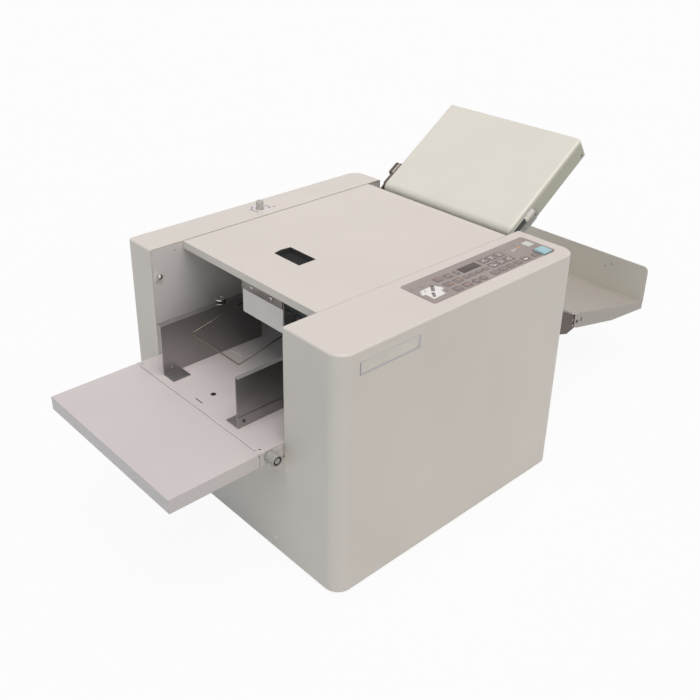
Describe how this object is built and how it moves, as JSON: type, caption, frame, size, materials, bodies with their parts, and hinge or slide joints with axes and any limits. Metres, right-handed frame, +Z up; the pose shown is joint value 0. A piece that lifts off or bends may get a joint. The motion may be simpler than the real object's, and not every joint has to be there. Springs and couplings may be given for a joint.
{
  "type": "desktop paper folding machine",
  "caption": "Desktop paper folder: lifting feed table with side guides, lid over fold rollers, angled fold plate, key panel and sloping exit tray.",
  "frame": {"origin": "on the surface the feet stand on, under the middle of the whole length and width", "axes": "+X the way the paper travels, from the feed table to the exit tray; -Y towards the operator; +Z up"},
  "size_m": [1.297, 0.568, 0.5857],
  "materials": {
    "cover_paint": "fine satin",
    "frame_steel": "satin",
    "bright_steel": "bright",
    "dark_steel": "satin",
    "rubber_black": "matt",
    "rubber_grey": "matt",
    "plastic_white": "matt",
    "plastic_cream": "satin",
    "plastic_black": "satin",
    "plastic_grey": "satin",
    "key_blue": "satin",
    "panel_film": "satin",
    "board": "satin",
    "chrome": "bright",
    "acetal": "satin"
  },
  "bodies": {
    "housing": {"front_cover": "cover_paint", "back_cover": "cover_paint", "front_side_frame": "frame_steel", "back_side_frame": "frame_steel", "base_plate": "frame_steel", "feet": "rubber_black", "lower_feed_panel": "cover_paint", "delivery_panel": "cover_paint", "cross_stays": "bright_steel", "lift_rods": "bright_steel", "separator_bridge": "frame_steel", "separator_plate": "plastic_white", "clamp_strip": "bright_steel", "sheet_stop": "frame_steel", "fold_plate_rails": "dark_steel", "lower_fold_plate": "bright_steel", "delivery_chute": "cover_paint", "tray_brackets": "dark_steel", "control_panel": "panel_film", "circuit_board": "board", "mains_inlet": "plastic_black", "drive_motor": "dark_steel", "drive_belt": "rubber_black", "fasteners": "bright_steel"},
    "table": {"feed_table": "cover_paint", "flap_hinge_pins": "bright_steel"},
    "flap": {"feed_flap": "cover_paint"},
    "back_side_guide": {"back_guide": "bright_steel", "back_guide_rack": "acetal"},
    "front_side_guide": {"front_guide": "bright_steel", "front_guide_rack": "acetal"},
    "pinion": {"guide_pinion": "acetal"},
    "lock_knob": {"guide_lock_knob": "chrome"},
    "skew_adjuster": {"skew_knob": "plastic_grey"},
    "lid": {"top_lid": "cover_paint", "lid_pull": "plastic_black"},
    "bail": {"wire_bail": "bright_steel"},
    "feed_roller": {"feed_shaft": "bright_steel", "feed_tires": "rubber_black"},
    "roller_1": {"fold_roller_1": "rubber_grey", "fold_gear_1": "acetal"},
    "roller_2": {"fold_roller_2": "rubber_grey", "fold_gear_2": "acetal"},
    "roller_3": {"fold_roller_3": "rubber_grey", "fold_gear_3": "acetal"},
    "roller_4": {"fold_roller_4": "rubber_grey", "fold_gear_4": "acetal"},
    "exit_shaft": {"exit_roller": "rubber_black"},
    "motor_shaft": {"motor_pulley": "bright_steel"},
    "fold_plate": {"fold_plate_cover": "plastic_cream", "fold_plate_pocket": "bright_steel"},
    "fold_stop": {"upper_fold_stop": "plastic_black"},
    "front_release": {"front_latch": "plastic_cream"},
    "back_release": {"back_latch": "plastic_black"},
    "tray": {"exit_tray": "cover_paint"},
    "start_button": {"start_key": "key_blue"},
    "stop_button": {"stop_key": "plastic_white"},
    "back_knob": {"adjusting_knob": "chrome"},
    "rocker": {"power_switch": "plastic_black"}
  },
  "joints": [
    {"name": "table_lift", "type": "slide", "parent": "housing", "child": "table", "axis": [0, 0, 1], "range_m": [0, 0.075]},
    {"name": "flap_fold", "type": "hinge", "parent": "table", "child": "flap", "pos_m": [-0.48017, 0.0265, 0.2409], "axis": [0, 1, 0], "range_deg": [0, 90]},
    {"name": "back_guide_slide", "type": "slide", "parent": "table", "child": "back_side_guide", "axis": [0, 1, 0], "range_m": [-0.033, 0.046]},
    {"name": "front_guide_slide", "type": "slide", "parent": "table", "child": "front_side_guide", "axis": [0, 1, 0], "range_m": [-0.046, 0.033]},
    {"name": "guide_pinion_turn", "type": "hinge", "parent": "table", "child": "pinion", "pos_m": [-0.33967, 0.032, 0.235], "axis": [0, 0, 1], "range_deg": [-160, 222]},
    {"name": "guide_lock_turn", "type": "hinge", "parent": "back_side_guide", "child": "lock_knob", "pos_m": [-0.33267, 0.147, 0.345], "axis": [0, 0, 1], "range_deg": [-180, 180]},
    {"name": "skew_turn", "type": "hinge", "parent": "table", "child": "skew_adjuster", "pos_m": [-0.46267, -0.167, 0.232], "axis": [0, 1, 0], "range_deg": [-90, 90]},
    {"name": "lid_open", "type": "hinge", "parent": "housing", "child": "lid", "pos_m": [0.08883, 0.0265, 0.4442], "axis": [0, 1, 0], "range_deg": [0, 75]},
    {"name": "bail_swing", "type": "hinge", "parent": "housing", "child": "bail", "pos_m": [-0.29967, 0.032, 0.358], "axis": [0, 1, 0], "range_deg": [-45, 50]},
    {"name": "motor_turn", "type": "hinge", "parent": "housing", "child": "motor_shaft", "pos_m": [-0.12967, 0.23, 0.1], "axis": [0, 1, 0], "continuous": true},
    {"name": "feed_turn", "type": "hinge", "parent": "housing", "child": "feed_roller", "pos_m": [-0.14567, 0.032, 0.349], "axis": [0, 1, 0], "continuous": true},
    {"name": "fold_1_turn", "type": "hinge", "parent": "housing", "child": "roller_1", "pos_m": [-0.07154, 0.0265, 0.3141], "axis": [0, 1, 0], "continuous": true},
    {"name": "fold_2_turn", "type": "hinge", "parent": "housing", "child": "roller_2", "pos_m": [-0.04781, 0.0265, 0.27944], "axis": [0, 1, 0], "continuous": true},
    {"name": "fold_3_turn", "type": "hinge", "parent": "housing", "child": "roller_3", "pos_m": [-0.00604, 0.0265, 0.27505], "axis": [0, 1, 0], "continuous": true},
    {"name": "fold_4_turn", "type": "hinge", "parent": "housing", "child": "roller_4", "pos_m": [-0.00604, 0.0265, 0.23306], "axis": [0, 1, 0], "continuous": true},
    {"name": "exit_turn", "type": "hinge", "parent": "housing", "child": "exit_shaft", "pos_m": [0.11133, 0.0265, 0.266], "axis": [0, 1, 0], "continuous": true},
    {"name": "fold_plate_slide", "type": "slide", "parent": "housing", "child": "fold_plate", "axis": [0.8251, 0, 0.565], "range_m": [0, 0.12]},
    {"name": "fold_stop_slide", "type": "slide", "parent": "fold_plate", "child": "fold_stop", "axis": [0.8251, 0, 0.565], "range_m": [-0.09, 0.09]},
    {"name": "front_latch_slide", "type": "slide", "parent": "housing", "child": "front_release", "axis": [0.8251, 0, 0.565], "range_m": [0, 0.006], "stiffness_N_per_m": 300, "springref_m": -0.002},
    {"name": "back_latch_slide", "type": "slide", "parent": "housing", "child": "back_release", "axis": [0.8251, 0, 0.565], "range_m": [0, 0.006], "stiffness_N_per_m": 300, "springref_m": -0.002},
    {"name": "tray_tip", "type": "hinge", "parent": "housing", "child": "tray", "pos_m": [0.37333, 0.0265, 0.176], "axis": [0, -1, 0], "range_deg": [0, 60]},
    {"name": "start_press", "type": "slide", "parent": "housing", "child": "start_button", "axis": [0, 0, 1], "range_m": [-0.0012, 0], "stiffness_N_per_m": 600, "springref_m": 0.0002},
    {"name": "stop_press", "type": "slide", "parent": "housing", "child": "stop_button", "axis": [0, 0, 1], "range_m": [-0.0012, 0], "stiffness_N_per_m": 600, "springref_m": 0.0002},
    {"name": "knob_turn", "type": "hinge", "parent": "housing", "child": "back_knob", "pos_m": [-0.16417, 0.242, 0.46], "axis": [0, 0, 1], "range_deg": [-150, 150]},
    {"name": "power_rock", "type": "hinge", "parent": "housing", "child": "rocker", "pos_m": [0.12933, 0.163, 0.046], "axis": [0, -1, 0], "range_deg": [0, 16]}
  ],
  "couplings": [
    {"joint": "front_guide_slide", "follows": "back_guide_slide", "ratio": -1},
    {"joint": "guide_pinion_turn", "follows": "back_guide_slide", "rad_per_m": 83.333},
    {"joint": "fold_2_turn", "follows": "fold_1_turn", "ratio": -1},
    {"joint": "fold_3_turn", "follows": "fold_1_turn", "ratio": 1},
    {"joint": "fold_4_turn", "follows": "fold_1_turn", "ratio": -1},
    {"joint": "motor_turn", "follows": "fold_1_turn", "ratio": -1.7},
    {"joint": "feed_turn", "follows": "fold_1_turn", "ratio": 0.9409},
    {"joint": "exit_turn", "follows": "fold_1_turn", "ratio": 1.6299}
  ]
}
